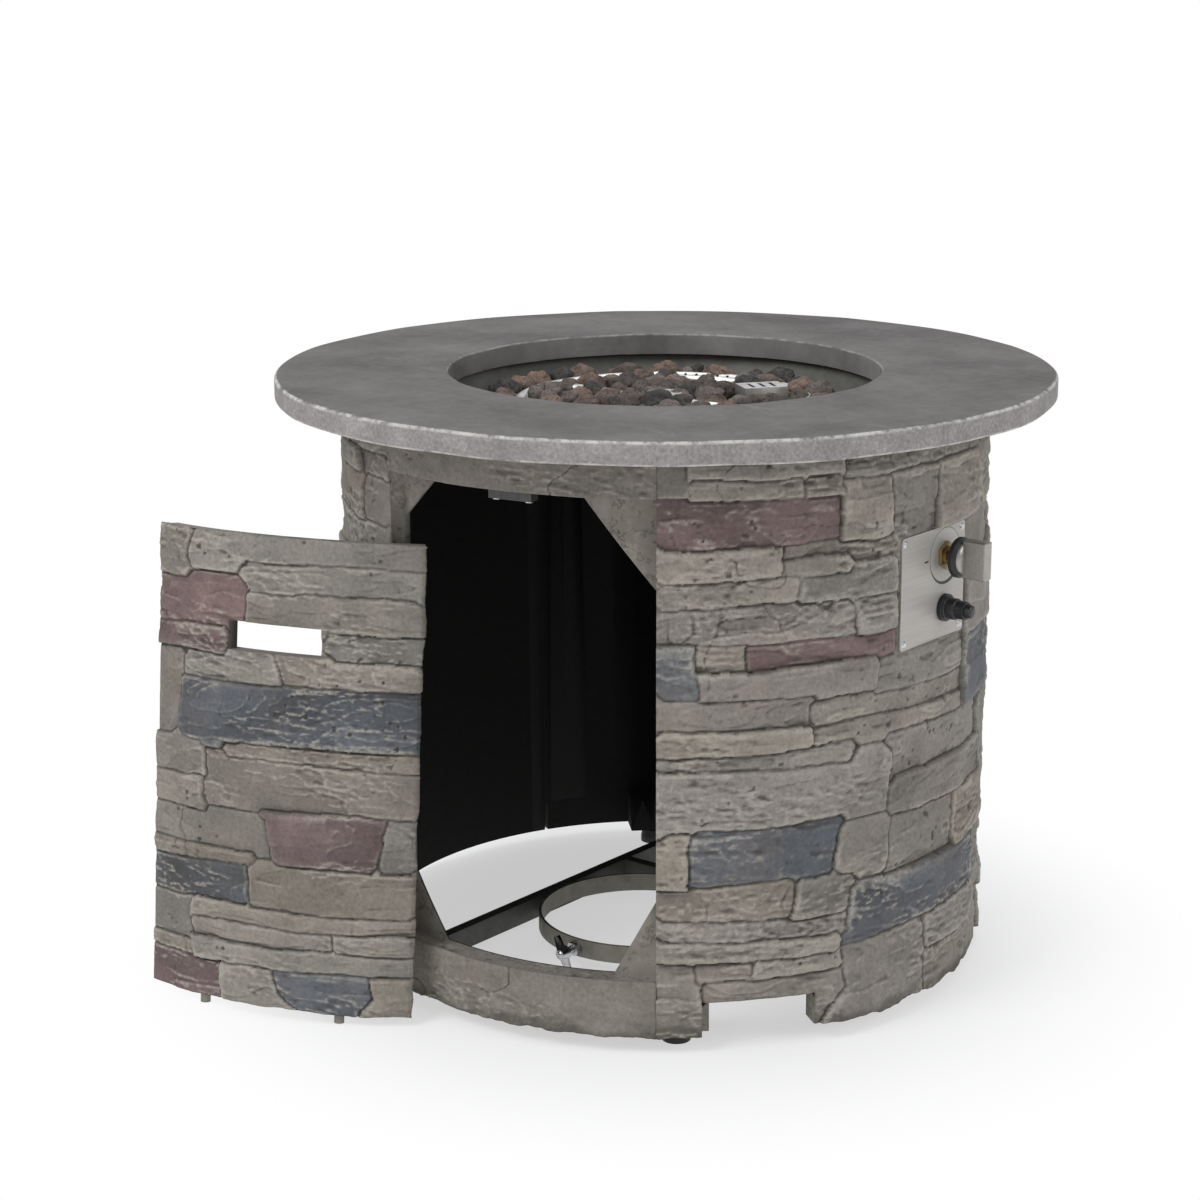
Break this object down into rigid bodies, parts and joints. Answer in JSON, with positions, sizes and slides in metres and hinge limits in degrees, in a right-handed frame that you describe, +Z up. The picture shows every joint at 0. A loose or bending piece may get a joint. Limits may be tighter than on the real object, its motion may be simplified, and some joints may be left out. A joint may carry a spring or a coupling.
{
  "type": "fire pit table",
  "caption": "Round gas fire pit table with a ledge-stone cast body, lift-out door, burner bowl with lava rock, control knob, igniter and tank ring.",
  "frame": {"origin": "on the table's axis at floor level", "axes": "+Z up, +X out through the middle of the control plate"},
  "size_m": [0.7899, 0.8465, 0.61],
  "materials": {
    "cast_body": "matt cast ledge stone, grey brown with purple and slate stones",
    "cast_top": "matt grey cast top with pale scuffs",
    "black_steel": "black powder coat",
    "frame_steel": "dark grey coated bar",
    "strap_steel": "dull rolled strap",
    "pan_steel": "grey heat-proof coat",
    "zinc_steel": "bright zinc",
    "stainless": "stainless sheet and tube",
    "pipe_aluminium": "soft bright tube",
    "brass": "turned brass",
    "valve_alloy": "die-cast",
    "ceramic_white": "glazed ceramic sleeve",
    "lava": "porous lava, brown to charcoal",
    "magnet": "sintered block",
    "brushed_plate": "brushed sheet",
    "black_plastic": "moulded black",
    "button_plastic": "polished black",
    "chrome_knob": "satin plated cap",
    "battery_shell": "plain wrapped cell",
    "rubber_foot": "black rubber"
  },
  "bodies": {
    "root": {"air_mixer": "brass", "bar_cross": "frame_steel", "bar_long": "frame_steel", "body_shell": "cast_body", "bracket_screws": "zinc_steel", "burner_pan": "pan_steel", "burner_posts": "stainless", "burner_ring": "stainless", "catch_magnet": "magnet", "catch_screws": "zinc_steel", "control_plate": "brushed_plate", "door_catch": "zinc_steel", "frame_bolts": "zinc_steel", "gas_pipe": "pipe_aluminium", "igniter_battery": "battery_shell", "igniter_housing": "black_plastic", "igniter_nut": "black_plastic", "lava_rocks": "lava", "mixer_nut": "zinc_steel", "pan_screws": "zinc_steel", "pilot_hood": "stainless", "plate_screws": "zinc_steel", "ring_lug": "strap_steel", "spark_electrode": "ceramic_white", "table_top": "cast_top", "tank_nut": "zinc_steel", "tank_ring": "strap_steel", "thermocouple": "stainless", "top_bolts": "zinc_steel", "top_brackets": "black_steel", "valve_body": "valve_alloy", "valve_bonnet": "brass", "valve_inlet": "brass", "valve_nut": "brass"},
    "door": {"door_panel": "cast_body", "door_pegs": "zinc_steel", "door_strike": "zinc_steel"},
    "knob_push": {"stem_collar": "brass"},
    "knob": {"valve_stem": "brass", "knob_skirt": "black_plastic", "knob_grip": "chrome_knob"},
    "igniter_cap_body": {"igniter_cap": "black_plastic"},
    "button": {"igniter_button": "button_plastic"},
    "screw_rod": {"tank_screw": "zinc_steel"},
    "screw_wing": {"tank_wing": "zinc_steel"},
    "foot_1": {"foot_pad_1": "rubber_foot", "foot_stem_1": "zinc_steel"},
    "foot_2": {"foot_pad_2": "rubber_foot", "foot_stem_2": "zinc_steel"},
    "foot_3": {"foot_pad_3": "rubber_foot", "foot_stem_3": "zinc_steel"},
    "foot_4": {"foot_pad_4": "rubber_foot", "foot_stem_4": "zinc_steel"}
  },
  "joints": [
    {"name": "door_lift", "type": "slide", "parent": "root", "child": "door", "axis": [0.245, -0.7817, 0.5735], "range_m": [0, 0.35]},
    {"name": "knob_press", "type": "slide", "parent": "root", "child": "knob_push", "axis": [-1, 0, 0], "range_m": [0, 0.003], "stiffness_N_per_m": 900, "springref_m": -0.002},
    {"name": "knob_turn", "type": "hinge", "parent": "knob_push", "child": "knob", "pos_m": [0.34, 0.021, 0.457], "axis": [1, 0, 0], "range_deg": [0, 210]},
    {"name": "igniter_cap_off", "type": "slide", "parent": "root", "child": "igniter_cap_body", "axis": [1, 0, 0], "range_m": [0, 0.04]},
    {"name": "button_press", "type": "slide", "parent": "igniter_cap_body", "child": "button", "axis": [-1, 0, 0], "range_m": [0, 0.003], "stiffness_N_per_m": 600, "springref_m": -0.002},
    {"name": "screw_feed", "type": "slide", "parent": "root", "child": "screw_rod", "axis": [0, 1, 0], "range_m": [0, 0.0085]},
    {"name": "wing_turn", "type": "hinge", "parent": "screw_rod", "child": "screw_wing", "pos_m": [0, -0.165, 0.0255], "axis": [0, 1, 0], "range_deg": [0, 2450]},
    {"name": "foot_1_level", "type": "slide", "parent": "root", "child": "foot_1", "axis": [0, 0, -1], "range_m": [0, 0.012]},
    {"name": "foot_2_level", "type": "slide", "parent": "root", "child": "foot_2", "axis": [0, 0, -1], "range_m": [0, 0.012]},
    {"name": "foot_3_level", "type": "slide", "parent": "root", "child": "foot_3", "axis": [0, 0, -1], "range_m": [0, 0.012]},
    {"name": "foot_4_level", "type": "slide", "parent": "root", "child": "foot_4", "axis": [0, 0, -1], "range_m": [0, 0.012]}
  ],
  "couplings": [
    {"joint": "wing_turn", "follows": "screw_feed", "rad_per_m": 5026.5}
  ]
}
